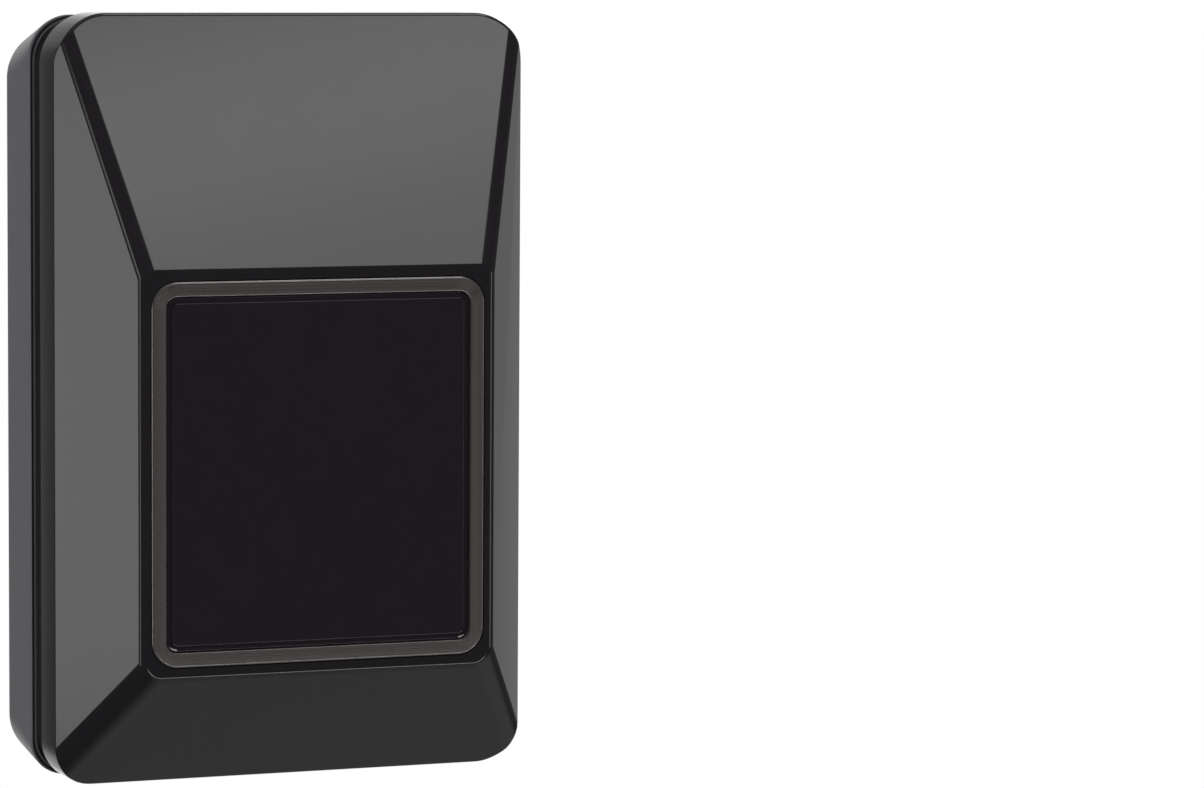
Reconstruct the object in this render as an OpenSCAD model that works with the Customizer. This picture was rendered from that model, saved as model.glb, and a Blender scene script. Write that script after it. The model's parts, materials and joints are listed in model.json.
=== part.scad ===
// Wall photocell for a gate: the receiving unit of a pair, with its cover,
// window, circuit board and a lens head that is aimed by hand.
// X runs across the unit, Z up, and the front looks along -Y.
// The origin is the middle of the back face that lies on the wall.
// A depth below is always measured forwards from that wall face.

/* [Housing] */
// Width of the housing
body_w = 70.5; // [68:0.5:80]
// Height of the housing
body_h = 110; // [106:1:124]
// Radius of the cover's two upper corners
corner_top_r = 7.6; // [6.5:0.1:9]
// Radius of the cover's two lower corners
corner_bottom_r = 6; // [5:0.1:8]
// Depth of the base box from the wall to its front lip
base_d = 12; // [11:0.5:16]
// Thickness of the base's back wall
back_wall = 2.4; // [2:0.1:3]
// Radius of the base's two upper corners at its front lip
base_top_r = 6.2; // [5:0.1:7]
// Radius of the base's two lower corners at its front lip
base_bottom_r = 5; // [4:0.1:6]
// Radius of all its corners at the wall
base_back_r = 7; // [5:0.1:9]
// How far the base's top stays below the cover's at its front lip
base_top_in = 0.45; // [0.2:0.05:0.7]
// How much further the base's top leans in at the wall
base_top_lean = 2.4; // [1.5:0.1:2.8]
// How far the base's bottom leans in at the wall
base_bottom_lean = 0.6; // [0:0.1:1.8]
// Rounding of the base's back edge and front lip
base_edge_r = 0.3; // [0.2:0.05:0.5]
// Depth of the dark band between the base and the cover
band_d = 4.6; // [3.6:0.1:6]
// How far the band lies inside the cover's outline
band_inset = 0.7; // [0.4:0.1:1.2]
// Wall thickness of the cover
cover_wall = 2; // [1.6:0.1:2.2]
// Thickness of the base's raised rim inside the cover
rim_t = 1.3; // [1:0.1:1.5]
// How far that rim reaches into the cover
rim_reach = 1.4; // [1:0.1:2.5]
// Gap between the cover and whatever it slides over
cover_gap = 0.25; // [0.2:0.05:0.35]

/* [Front faces] */
// Straight side wall of the cover, behind the left and right faces
side_wall_h = 7.6; // [6:0.1:10]
// How much taller that wall is at the top
top_wall_extra = 0.6; // [0:0.1:1.5]
// How much lower that wall is at the bottom
bottom_wall_less = 2.2; // [0.5:0.1:3]
// Rise from the side walls to the flat round the window
front_rise = 12.6; // [11:0.1:15]
// Distance from the trim to the left and right faces
crest_side = 1.35; // [1:0.05:2.5]
// Distance from the trim to the top and bottom faces
crest_end = 1.68; // [1.2:0.02:3]
// Rounding of the edge round the window
crest_r = 1.5; // [1:0.1:1.8]
// Rounding of the cover's rim and rear edge
edge_r = 0.6; // [0.3:0.1:0.8]
// Rounding of the two upper edges between the faces
hip_top_r = 2.3; // [1.5:0.1:4]
// Rounding of the two lower edges between the faces
hip_bottom_r = 4.3; // [2:0.1:5]
// Plan radius of the crest's upper corners, past its rounding
crest_corner_top = 1.3; // [0.6:0.1:2.5]
// Plan radius of the crest's lower corners, past its rounding
crest_corner_bottom = 2.1; // [0.6:0.1:3]

/* [Window] */
// Width over the trim frame
window_w = 49.7; // [46:0.1:51]
// Height over the trim frame
window_h = 54.4; // [50:0.1:58]
// Height of the window's middle above the housing's middle
window_z = -9.5; // [-12:0.5:-6]
// Width of the trim frame's bar
trim_w = 2.1; // [1.6:0.1:2.6]
// Outer corner radius of the trim frame
trim_r = 3.8; // [3:0.1:5]
// Thickness of the trim frame
trim_t = 1; // [0.8:0.1:1.4]
// How far the trim stands out of the cover
trim_proud = 0.2; // [0:0.05:0.4]
// Bevel along the trim's two front edges
trim_bevel = 0.3; // [0.1:0.05:0.5]
// Gap round the trim in its seat
trim_gap = 0.12; // [0.05:0.01:0.2]
// Thickness of the pane's flange under the trim
pane_t = 1.4; // [1.2:0.1:1.8]
// Step of the pane up inside the trim
pane_step = 0.5; // [0.3:0.05:0.7]
// Raised middle of the pane above that step
pane_raise = 0.3; // [0.2:0.05:0.4]
// Distance from the trim to the pane's raised middle
pane_margin = 0.9; // [0.6:0.1:1.4]
// Thickness of the flat gasket behind the pane
gasket_t = 0.5; // [0.3:0.1:0.8]
// Width of the ledge that carries the gasket
ledge_w = 3; // [2.4:0.1:3.6]
// Thickness of the ledge
ledge_t = 1.2; // [1:0.1:1.6]

/* [Wall fixing] */
// Distance from a wall screw to the housing's side
wall_screw_in = 9.75; // [9:0.25:11]
// Distance from a wall screw to the housing's top or bottom
wall_screw_up = 11.5; // [10:0.5:13]
// Radius of the wall screw holes
wall_hole_r = 2.25; // [1.8:0.05:2.5]
// Radius of the seat for a wall screw's head
wall_seat_r = 4.1; // [3.6:0.1:4.2]
// Height of the boss round a wall screw
wall_boss_h = 2; // [1.2:0.1:2.6]
// Radius of the cable that the grommet takes
cable_r = 3.2; // [2.4:0.1:3.6]
// Radius of the cable hole in the back wall
cable_hole_r = 6; // [5.4:0.1:6.4]

/* [Board] */
// Height of the posts under the board
post_h = 3.6; // [3.2:0.1:4.4]
// Thickness of the circuit board
board_t = 1.6; // [1.2:0.1:1.8]
// Gap between the board's edge and the cover's tongues
board_gap = 0.8; // [0.5:0.1:1.2]
// Number of screw terminals
poles = 6; // [4:1:6]
// Distance from one terminal to the next
pole_pitch = 5; // [4.6:0.1:5.1]

/* [Lens head] */
// Radius of the lens holder
head_r = 12; // [11:0.1:12.2]
// Holder in front of the pivot axes
head_front = 8; // [7.5:0.1:8.4]
// Holder behind the pivot axes
head_back = 7; // [6.5:0.1:7.4]
// Gap between the pivots' farthest swing and the window
head_clear = 13.2; // [12.9:0.1:13.6]
// Radius of the tilt pins
tilt_pin_r = 1.2; // [1:0.05:1.4]
// Radius of the pan pins
pan_pin_r = 1.4; // [1.2:0.05:1.6]
// Running gap round every pin
pin_gap = 0.05; // [0.03:0.01:0.08]
// Gap between the holder and the ring round it
ring_gap = 1.3; // [1.2:0.1:1.6]
// Thickness of the ring
ring_t = 2.6; // [2.2:0.1:3]
// Depth of the ring
ring_d = 5; // [4.4:0.1:5.4]

/* [Hidden] */
$fn = 64;

// One overrun serves every cut
cut = 1;
// Gap between two pieces that only lie near each other
near_gap = 0.3;

// Depths of the housing
band_front = base_d + band_d;
seal_front = band_front - near_gap;
rim_front = band_front + rim_reach;
side_rim = band_front + side_wall_h;
top_rim = side_rim + top_wall_extra;
bottom_rim = side_rim - bottom_wall_less;
plateau = side_rim + front_rise;
rim_inset = cover_wall + cover_gap;
cavity_inset = rim_inset + rim_t;

// Inside of the faceted front
inner_round = 0.5;
inner_plateau = plateau + trim_proud - trim_t - pane_t - gasket_t - ledge_t;
rear_depth = base_d;

// Crest, measured from the middle of the housing along each of its faces
crest_x = window_w / 2 + crest_side;
crest_up = window_z + window_h / 2 + crest_end;
crest_down = window_h / 2 - window_z + crest_end;

// Angle of each face to the wall, and its offset along its own normal
side_a = atan2(plateau - side_rim, body_w / 2 - crest_x);
top_a = atan2(plateau - top_rim, body_h / 2 - crest_up);
bottom_a = atan2(plateau - bottom_rim, body_h / 2 - crest_down);
side_k = crest_x * sin(side_a) + plateau * cos(side_a);
top_k = crest_up * sin(top_a) + plateau * cos(top_a);
bottom_k = crest_down * sin(bottom_a) + plateau * cos(bottom_a);

// Window stack, from the front backwards
trim_front = plateau + trim_proud;
trim_back = trim_front - trim_t;
pane_back = trim_back - pane_t;
ledge_front = pane_back - gasket_t;

// Cover's tongues, which slide inside the base's rim
tongue_t = 1.5;
tongue_w = 8;
tongue_z = 22;
tongue_grip = 11;
tongue_tip = rim_front - tongue_grip;
tongue_x = body_w / 2 - cavity_inset - cover_gap - tongue_t;
// Notch for a blade under the cover's lower edge
notch_w = 10;
notch_h = 1.8;

// Spacing of the wall screws
wall_screw_x = body_w - 2 * wall_screw_in;
wall_screw_z = body_h - 2 * wall_screw_up;

// Cable entry
grommet_lip = 1.8;
grommet_lip_t = 1.2;
grommet_nose = 3.4;
grommet_wall = 0.9;
grommet_gap = 0.05;
grommet_back = 0.3;
cable_up = 11.5;
cable_z = body_h / 2 - cable_up;

// Board and its posts
board_back = back_wall + post_h;
board_front = board_back + board_t;
board_w = 2 * (tongue_x - board_gap);
board_end_gap = 3.4;
board_h = body_h - 2 * (cavity_inset + board_end_gap);
board_r = 1;
seat_clear = 0.5;
corner_notch_x = board_w / 2 - (wall_screw_x / 2 - wall_seat_r - seat_clear);
corner_notch_z = board_h / 2 - (wall_screw_z / 2 - wall_seat_r - seat_clear);
cable_notch_w = 2 * (cable_hole_r + grommet_lip + seat_clear);
cable_notch_d = board_h / 2 - (cable_z - cable_hole_r - grommet_lip - seat_clear);
post_r = 3;
post_edge = 4.2;
post_x = board_w / 2 - post_edge;
post_z = board_h / 2 - corner_notch_z - post_edge;
thread_r = 1.25;
thread_gap = 0.05;
screw_head_r = 2.5;
screw_head_h = 1.6;
screw_slot = 0.7;
screw_slot_d = 0.8;
board_hole_r = 1.5;
shank_end = 1;

// Terminals
block_w = poles * pole_pitch + 0.1 * pole_pitch;
block_h = 8.2;
block_d = 10.2;
block_step = 2.4;
entry_w = 3.2;
entry_h = 3.8;
entry_d = 4.6;
entry_lift = 1.6;
cage_wall = 0.4;
terminal_screw_r = 1.7;
terminal_screw_h = 2.2;
terminal_hole_gap = 0.15;

// Relay, capacitor and varistor stand in a row under the terminals
row_gap = 1.2;
relay_w = 20.2;
relay_h = 10.2;
relay_d = 15.4;
relay_edge = 3.65;
relay_x = relay_edge + relay_w / 2 - board_w / 2;
relay_foot = 0.4;
relay_r = 0.8;
cap_r = 5;
cap_h = 12.6;
cap_space = 2.9;
cap_x = relay_x + relay_w / 2 + cap_space + cap_r;
cap_groove = 0.35;
cap_groove_at = 2.2;
cap_groove_w = 0.9;
cap_vent_w = 0.5;
cap_vent_d = 0.25;
varistor_r = 5.2;
varistor_t = 4;
varistor_space = 6;
varistor_x = cap_x + cap_r + varistor_space + varistor_t / 2;
varistor_leg = 1.8;
varistor_leg_r = 0.4;
varistor_round = 1.2;

// Flat chips beside the lens head
chip_w = 3.9;
chip_h = 8.7;
chip_t = 1.4;
chip_stand = 0.15;
chip_leg_w = 0.42;
chip_leg_reach = 1.05;
chip_leg_t = 0.2;
chip_leg_pitch = 1.27;
chip_legs = 7;
chip_edge = 6.75;
chip_x = chip_edge - board_w / 2;
chip_dot_r = 0.4;
chip_dot_d = 0.1;
reg_w = 6.5;
reg_h = 3.5;
reg_t = 1.6;
reg_x = -chip_x;
reg_leg_w = 0.75;
reg_tab_w = 3;
reg_leg_reach = 1.75;
reg_leg_pitch = 2.3;
smd_w = 1.6;
smd_h = 0.85;
smd_t = 0.55;
smd_pitch = 2.4;
smd_row = 4;

// Switches, trimmer and lamps in a row under the lens head
low_row_up = 7.6;
low_row_in = 6;
low_row_x = wall_screw_x / 2 - wall_seat_r - seat_clear - low_row_in;
low_z = low_row_up - board_h / 2;
switch_w = 6.6;
switch_h = 6.4;
switch_d = 3.6;
switch_x = -low_row_x;
lever_pitch = 2.54;
lever_w = 1.1;
lever_h = 1.2;
lever_gap = 0.15;
lever_travel = 1.8;
lever_up = 0.9;
lever_deep = 1.6;
trimmer_w = 6.6;
trimmer_d = 4.2;
trimmer_x = low_row_x;
rotor_r = 1.9;
rotor_gap = 0.08;
rotor_deep = 1.6;
rotor_up = 0.3;
rotor_slot = 0.6;
rotor_slot_d = 0.7;
led_r = 1.5;
led_lip = 0.4;
led_lip_t = 0.9;
led_h = 3.6;
led_x = 3.4;

// Lens head, built about the point where its two axes cross
pivot = pane_back - head_clear;
bracket_t = 1.4;
bracket_w = 22;
arm_t = 2.4;
arm_w = 10;
arm_gap = 1.1;
ring_in = head_r + ring_gap;
ring_out = ring_in + ring_t;
arm_in = ring_out + arm_gap;
arm_out = arm_in + arm_t;
arm_over = 3;
arm_front = pivot + arm_over;
bracket_r = 2.4;
bracket_screw_x = bracket_w / 2 - screw_head_r - seat_clear;
bracket_screw_z = arm_in - screw_head_r - 2 * seat_clear;
row_z = window_z + arm_out + row_gap + relay_h / 2;
block_z = row_z + relay_h / 2 + row_gap + block_h / 2;
smd_high_z = (window_z + chip_h / 2 + row_z - relay_h / 2) / 2;
smd_low_z = (window_z - reg_h / 2 - reg_leg_reach - post_z + screw_head_r) / 2;
pan_collar_r = 2.6;
boss_r = 2.7;
boss_over = 0.7;
tilt_collar_r = 2.1;
pin_in = 0.6;
holder_wall = 2.8;
holder_bore = head_r - holder_wall;
taper_at = 1.5;
taper_r = 3.4;
lens_gap = 0.1;
lens_edge = 1.2;
lens_lip = 1.2;
lens_seat = 4;
head_bevel = 0.6;
lens_dome = 2.4;
lens_r = head_r - lens_lip - lens_gap;
lens_seat_depth = pivot + head_front - lens_seat;
dome_r = lens_r - lens_lip;
dome_ball = (dome_r * dome_r + lens_dome * lens_dome) / (2 * lens_dome);
retainer_t = 1.2;
baffle_t = 1;
baffle_hole = 6;
baffle_at = 1.5;
sensor_t = 1.2;
sensor_r = head_r - taper_r - 0.05 * head_r;
diode_w = 5.2;
diode_h = 4.2;
diode_t = 1.8;
diode_dome = 1.6;

// A plan shape, drawn in X and Z, carried forwards between two depths
module slab(near, far) {
    translate([0, -near, 0]) rotate([90, 0, 0]) linear_extrude(far - near) children();
}

// Something drawn about an axis that runs forwards from a depth
module facing(x, z, depth = 0) {
    translate([x, -depth, z]) rotate([90, 0, 0]) children();
}

// Rectangle with round corners, about its middle
module round_plan(w, h, r) {
    square([w - 2 * r, h], center = true);
    square([w, h - 2 * r], center = true);
    for (sx = [-1, 1], sz = [-1, 1])
        translate([sx * (w / 2 - r), sz * (h / 2 - r)]) circle(r);
}

// Upright rectangle between two heights, with its own radius for the lower and the upper corners
module upright_plan(w, low, high, low_r, high_r) {
    translate([-w / 2, low + low_r]) square([w, high - low - low_r - high_r]);
    translate([low_r - w / 2, low]) square([w - 2 * low_r, (high - low) / 2]);
    translate([high_r - w / 2, (low + high) / 2]) square([w - 2 * high_r, (high - low) / 2]);
    for (s = [-1, 1]) {
        translate([s * (w / 2 - low_r), low + low_r]) circle(low_r);
        translate([s * (w / 2 - high_r), high - high_r]) circle(high_r);
    }
}

// The housing's outline, drawn in from its widest by an inset
module housing_plan(inset) {
    upright_plan(body_w - 2 * inset, inset - body_h / 2, body_h / 2 - inset,
        corner_bottom_r - inset, corner_top_r - inset);
}

// The base's outline, drawn in by an inset all round and further at its top and bottom
module base_plan(inset, top_in, bottom_in, low_r, high_r) {
    upright_plan(body_w - 2 * inset, inset + bottom_in - body_h / 2, body_h / 2 - inset - top_in,
        low_r - inset, high_r - inset);
}

// The window's outline, drawn in from the trim's outside by an inset
module window_plan(inset) {
    translate([0, window_z])
        round_plan(window_w - 2 * inset, window_h - 2 * inset, max(trim_r - inset, trim_r - trim_w));
}

// Frame between two insets of the window's outline
module window_frame(outer, inner) {
    difference() {
        window_plan(outer);
        window_plan(inner);
    }
}

// Where a ball at a depth touches a face, and where the crest's round does
function ball_at(k, a, r, depth) = (k - r - depth * cos(a)) / sin(a);
function crest_at(k, a, m) = ball_at(k, a, crest_r, plateau - crest_r) - m;

// The base before it is hollowed. Its top and bottom lean in towards the wall.
module leaning_block() {
    r = base_edge_r;
    minkowski() {
        hull() {
            slab(r, 2 * r)
                base_plan(r, base_top_in + base_top_lean, base_bottom_lean, base_back_r, base_back_r);
            slab(base_d - 2 * r, base_d - r) base_plan(r, base_top_in, 0, base_bottom_r, base_top_r);
        }
        sphere(r, $fn = 12);
    }
}

// Round of the crest less the edge's rounding, turned about a corner of the window
module crest_round(m) {
    r = crest_r - edge_r;
    rotate_extrude($fn = 32) intersection() {
        translate([m, 0]) circle(r, $fn = 24);
        translate([0, -r]) square([m + r, 2 * r]);
    }
}

// The four sloping faces with their rounded hips, drawn in by the edge's rounding
module sloped_core() {
    hull() for (sx = [-1, 1]) {
        translate([sx * ball_at(side_k, side_a, hip_top_r, rear_depth), -rear_depth,
            ball_at(top_k, top_a, hip_top_r, rear_depth)]) sphere(hip_top_r - edge_r, $fn = 32);
        translate([sx * ball_at(side_k, side_a, hip_bottom_r, rear_depth), -rear_depth,
            -ball_at(bottom_k, bottom_a, hip_bottom_r, rear_depth)])
            sphere(hip_bottom_r - edge_r, $fn = 32);
        facing(sx * crest_at(side_k, side_a, crest_corner_top),
            crest_at(top_k, top_a, crest_corner_top), plateau - crest_r)
            crest_round(crest_corner_top);
        facing(sx * crest_at(side_k, side_a, crest_corner_bottom),
            -crest_at(bottom_k, bottom_a, crest_corner_bottom), plateau - crest_r)
            crest_round(crest_corner_bottom);
    }
}

// The cover before it is hollowed, with its rim and rear edge rolled off
module cover_block() {
    minkowski() {
        intersection() {
            slab(band_front + edge_r, plateau) housing_plan(edge_r);
            sloped_core();
        }
        sphere(edge_r, $fn = 12);
    }
}

// The same faces one wall thickness further in
module inner_faces() {
    reach = cover_wall + inner_round;
    hull() for (sx = [-1, 1], depth = [rear_depth, inner_plateau - inner_round]) {
        translate([sx * ball_at(side_k, side_a, reach, depth), -depth,
            ball_at(top_k, top_a, reach, depth)]) sphere(inner_round, $fn = 16);
        translate([sx * ball_at(side_k, side_a, reach, depth), -depth,
            -ball_at(bottom_k, bottom_a, reach, depth)]) sphere(inner_round, $fn = 16);
    }
}

// Children at the four corners of a rectangle
module corners(x, z) {
    for (sx = [-1, 1], sz = [-1, 1]) translate([sx * x, 0, sz * z]) children();
}

// Children at the bracket's two screws, which lie across a diagonal
module bracket_screw_places() {
    for (s = [-1, 1]) translate([s * bracket_screw_x, 0, window_z - s * bracket_screw_z]) children();
}

// A pan-head screw that looks forwards, from its tip's depth to its seat's
module board_screw(tip, seat) {
    facing(0, 0, tip) cylinder(r = thread_r, h = seat - tip);
    difference() {
        facing(0, 0, seat) cylinder(r = screw_head_r, h = screw_head_h);
        for (turn = [0, 90]) rotate([0, turn, 0])
            translate([-screw_head_r, -(seat + screw_head_h + cut), -screw_slot / 2])
                cube([2 * screw_head_r, screw_slot_d + cut, screw_slot]);
    }
}

module base_box() {
    color("#232226") difference() {
        union() {
            difference() {
                union() {
                    leaning_block();
                    slab(base_d - cut, rim_front) housing_plan(rim_inset);
                }
                slab(back_wall, rim_front + cut) housing_plan(cavity_inset);
            }
            corners(wall_screw_x / 2, wall_screw_z / 2) slab(back_wall - cut, back_wall + wall_boss_h)
                circle(wall_seat_r + seat_clear);
            corners(post_x, post_z) slab(back_wall - cut, board_back) circle(post_r);
            bracket_screw_places() slab(back_wall - cut, board_back) circle(post_r);
        }
        corners(wall_screw_x / 2, wall_screw_z / 2) {
            slab(-cut, back_wall + wall_boss_h + cut) circle(wall_hole_r);
            slab(back_wall + wall_boss_h / 2, back_wall + wall_boss_h + cut) circle(wall_seat_r);
        }
        corners(post_x, post_z) slab(back_wall, board_back + cut) circle(thread_r + thread_gap);
        bracket_screw_places() slab(back_wall, board_back + cut) circle(thread_r + thread_gap);
        translate([0, 0, cable_z]) slab(-cut, back_wall + cut) circle(cable_hole_r);
    }
}

module cable_grommet() {
    nose = back_wall + grommet_lip_t + grommet_nose;
    color("#1b1b1b") facing(0, cable_z) rotate_extrude() polygon([
        [cable_r, grommet_back],
        [cable_hole_r - grommet_gap, grommet_back],
        [cable_hole_r - grommet_gap, back_wall],
        [cable_hole_r + grommet_lip, back_wall],
        [cable_hole_r + grommet_lip, back_wall + grommet_lip_t],
        [cable_hole_r - grommet_wall, back_wall + grommet_lip_t],
        [cable_r + grommet_wall, nose],
        [cable_r, nose]]);
}

module housing_seal() {
    color("#161517") slab(base_d, seal_front) difference() {
        housing_plan(band_inset);
        housing_plan(rim_inset);
    }
}

// One tongue of the cover, on the right, that slides inside the base's rim
module cover_tongue() {
    root = rim_front + near_gap;
    heel = body_w / 2 - cover_wall / 2;
    translate([0, 0, -tongue_w / 2]) linear_extrude(tongue_w) polygon([
        [tongue_x, -side_rim],
        [tongue_x, -tongue_tip - tongue_t / 2],
        [tongue_x + tongue_t / 2, -tongue_tip],
        [tongue_x + tongue_t, -tongue_tip - tongue_t],
        [tongue_x + tongue_t, -root],
        [heel, -root],
        [heel, -side_rim]]);
}

module front_cover() {
    color("#2b2a2d") difference() {
        union() {
            difference() {
                cover_block();
                intersection() {
                    slab(band_front - cut, plateau) housing_plan(cover_wall);
                    inner_faces();
                }
            }
            for (sx = [0, 1], sz = [-1, 1]) mirror([sx, 0, 0])
                translate([0, 0, sz * tongue_z]) cover_tongue();
        }
        slab(ledge_front, plateau + cut) window_plan(-trim_gap);
        slab(inner_plateau - cut, plateau + cut) window_plan(ledge_w);
        translate([-notch_w / 2, -(band_front + notch_h), -body_h / 2 - cut])
            cube([notch_w, notch_h + cut, cover_wall + 2 * cut]);
    }
}

module window_gasket() {
    color("#141414") slab(ledge_front, pane_back) window_frame(trim_gap, ledge_w);
}

module window_pane() {
    color("#1f1b1e") {
        slab(pane_back, trim_back) window_plan(trim_gap);
        slab(pane_back, trim_back + pane_step) window_plan(trim_w + trim_gap);
        slab(pane_back, trim_back + pane_step + pane_raise) translate([0, window_z])
            square([window_w - 2 * (trim_w + pane_margin), window_h - 2 * (trim_w + pane_margin)], center = true);
    }
}

// Section of the trim frame's bar, from its inner edge outwards
module trim_section() {
    polygon([
        [0, 0],
        [trim_w, 0],
        [trim_w, trim_t - trim_bevel],
        [trim_w - trim_bevel, trim_t],
        [trim_bevel, trim_t],
        [0, trim_t - trim_bevel]]);
}

// One quarter of the trim frame: a corner, and the bars up to the middle of the next two sides
module trim_quarter(w, h) {
    translate([w / 2 - trim_r, h / 2 - trim_r, 0]) {
        rotate_extrude(angle = 90) translate([trim_r - trim_w, 0]) trim_section();
        rotate([90, 0, 0]) linear_extrude(h / 2 - trim_r) translate([trim_r - trim_w, 0]) trim_section();
        rotate([90, 0, -90]) mirror([1, 0, 0]) linear_extrude(w / 2 - trim_r)
            translate([trim_r - trim_w, 0]) trim_section();
    }
}

module window_trim() {
    color("#57534f") facing(0, window_z, trim_back)
        for (sx = [0, 1], sy = [0, 1]) mirror([sx, 0, 0]) mirror([0, sy, 0])
            trim_quarter(window_w, window_h);
}

module main_board() {
    color("#1d5a36") difference() {
        slab(board_back, board_front) round_plan(board_w, board_h, board_r);
        corners(board_w / 2, board_h / 2) translate([0, 0, 0]) slab(board_back - cut, board_front + cut)
            square([2 * corner_notch_x, 2 * corner_notch_z], center = true);
        translate([0, 0, board_h / 2]) slab(board_back - cut, board_front + cut)
            square([cable_notch_w, 2 * cable_notch_d], center = true);
        corners(post_x, post_z) slab(board_back - cut, board_front + cut) circle(board_hole_r);
        bracket_screw_places() slab(board_back - cut, board_front + cut) circle(board_hole_r);
    }
}

module board_screws() {
    color("#a9a9a6") corners(post_x, post_z) board_screw(back_wall + shank_end, board_front);
}

module terminal_block() {
    x0 = -block_w / 2;
    color("#1f6f4a") difference() {
        translate([x0, 0, block_z]) rotate([90, 0, 90]) linear_extrude(block_w) polygon([
            [-board_front, -block_h / 2],
            [-board_front, block_h / 2],
            [-(board_front + block_d - block_step), block_h / 2],
            [-(board_front + block_d), block_h / 2 - block_step],
            [-(board_front + block_d), -block_h / 2]]);
        for (i = [0 : poles - 1]) translate([(i - (poles - 1) / 2) * pole_pitch, 0, block_z]) {
            translate([-entry_w / 2, -(board_front + entry_lift + entry_h), block_h / 2 - entry_d])
                cube([entry_w, entry_h, entry_d + cut]);
            slab(board_front + entry_lift + entry_h - cut, board_front + block_d + cut)
                circle(terminal_screw_r + terminal_hole_gap);
        }
    }
}

module terminal_cages() {
    color("#c9c7c0") for (i = [0 : poles - 1])
        translate([(i - (poles - 1) / 2) * pole_pitch, 0, block_z]) difference() {
            translate([-entry_w / 2 + cage_wall / 4, -(board_front + entry_lift + entry_h - cage_wall),
                block_h / 2 - entry_d])
                cube([entry_w - cage_wall / 2, entry_h - cage_wall, entry_d - cage_wall]);
            translate([-entry_w / 2 + cage_wall, -(board_front + entry_lift + entry_h - 2 * cage_wall),
                block_h / 2 - entry_d + cage_wall])
                cube([entry_w - 2 * cage_wall, entry_h - 3 * cage_wall, entry_d]);
        }
}

module terminal_screws() {
    seat = board_front + entry_lift + entry_h;
    color("#b9b8b2") for (i = [0 : poles - 1])
        translate([(i - (poles - 1) / 2) * pole_pitch, 0, block_z]) difference() {
            slab(seat - cage_wall, seat + terminal_screw_h) circle(terminal_screw_r);
            translate([-terminal_screw_r, -(seat + terminal_screw_h + cut), -screw_slot / 2])
                cube([2 * terminal_screw_r, screw_slot_d + cut, screw_slot]);
        }
}

module relay() {
    color("#2a4f8f") translate([relay_x, 0, row_z]) {
        slab(board_front + relay_foot, board_front + relay_d) round_plan(relay_w, relay_h, relay_r);
        corners(relay_w / 2 - 2 * relay_r, relay_h / 2 - 2 * relay_r)
            slab(board_front, board_front + 2 * relay_foot) circle(relay_r);
    }
}

module capacitor() {
    color("#26303c") facing(cap_x, row_z, board_front) difference() {
        cylinder(r = cap_r, h = cap_h);
        translate([0, 0, cap_groove_at]) rotate_extrude() translate([cap_r - cap_groove, 0])
            square([2 * cap_groove, cap_groove_w]);
        for (turn = [0, 90]) rotate([0, 0, turn])
            translate([-cap_r / 2, -cap_vent_w / 2, cap_h - cap_vent_d])
                cube([cap_r, cap_vent_w, cap_vent_d + cut]);
    }
}

module varistor() {
    disc = board_front + varistor_leg + varistor_r;
    color("#2d5fa8") translate([varistor_x, 0, row_z]) {
        translate([0, -disc, 0]) rotate([0, 90, 0]) rotate_extrude() union() {
            translate([0, -varistor_t / 2]) square([varistor_r - varistor_round, varistor_t]);
            translate([0, -varistor_t / 2 + varistor_round])
                square([varistor_r, varistor_t - 2 * varistor_round]);
            for (s = [-1, 1]) translate([varistor_r - varistor_round, s * (varistor_t / 2 - varistor_round)])
                circle(varistor_round);
        }
        for (s = [-1, 1]) translate([0, 0, s * varistor_r / 2])
            slab(board_front, disc - varistor_r / 2) circle(varistor_leg_r);
    }
}

module microcontroller() {
    color("#202022") translate([chip_x, 0, window_z]) {
        difference() {
            slab(board_front + chip_stand, board_front + chip_stand + chip_t)
                square([chip_w, chip_h], center = true);
            translate([-chip_w / 4, 0, chip_h / 2 - chip_w / 4])
                slab(board_front + chip_stand + chip_t - chip_dot_d, board_front + chip_stand + chip_t + cut)
                    circle(chip_dot_r);
        }
        for (i = [0 : chip_legs - 1], s = [-1, 1])
            translate([s * (chip_w / 2 + chip_leg_reach / 2), 0, (i - (chip_legs - 1) / 2) * chip_leg_pitch]) {
                slab(board_front, board_front + chip_leg_t) square([chip_leg_reach, chip_leg_w], center = true);
                translate([-s * chip_leg_reach / 3, 0, 0]) slab(board_front, board_front + chip_t / 2)
                    square([chip_leg_reach, chip_leg_w], center = true);
            }
    }
}

module regulator() {
    color("#242426") translate([reg_x, 0, window_z]) {
        slab(board_front + chip_stand, board_front + chip_stand + reg_t) square([reg_w, reg_h], center = true);
        for (i = [-1, 0, 1]) translate([i * reg_leg_pitch, 0, -reg_h / 2])
            slab(board_front, board_front + reg_t / 2) square([reg_leg_w, 2 * reg_leg_reach], center = true);
        translate([0, 0, reg_h / 2]) slab(board_front, board_front + reg_t / 2)
            square([reg_tab_w, 2 * reg_leg_reach], center = true);
    }
}

// A column of small components about a height, under the microcontroller or the regulator
module component_column(x, z) {
    for (i = [0 : smd_row - 1]) translate([x, 0, z + (i - (smd_row - 1) / 2) * smd_pitch])
        slab(board_front, board_front + smd_t) square([smd_w, smd_h], center = true);
}

module small_components() {
    color("#b08d57") {
        component_column(chip_x, smd_high_z);
        component_column(reg_x, smd_low_z);
    }
}

module switch_body() {
    top = board_front + switch_d;
    color("#b3312c") translate([switch_x, 0, low_z]) difference() {
        slab(board_front, top) square([switch_w, switch_h], center = true);
        for (s = [-1, 1]) translate([s * lever_pitch / 2, 0, 0]) slab(top - lever_deep - lever_gap, top + cut)
            square([lever_w + 2 * lever_gap, lever_h + lever_travel + 2 * lever_gap], center = true);
    }
}

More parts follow.
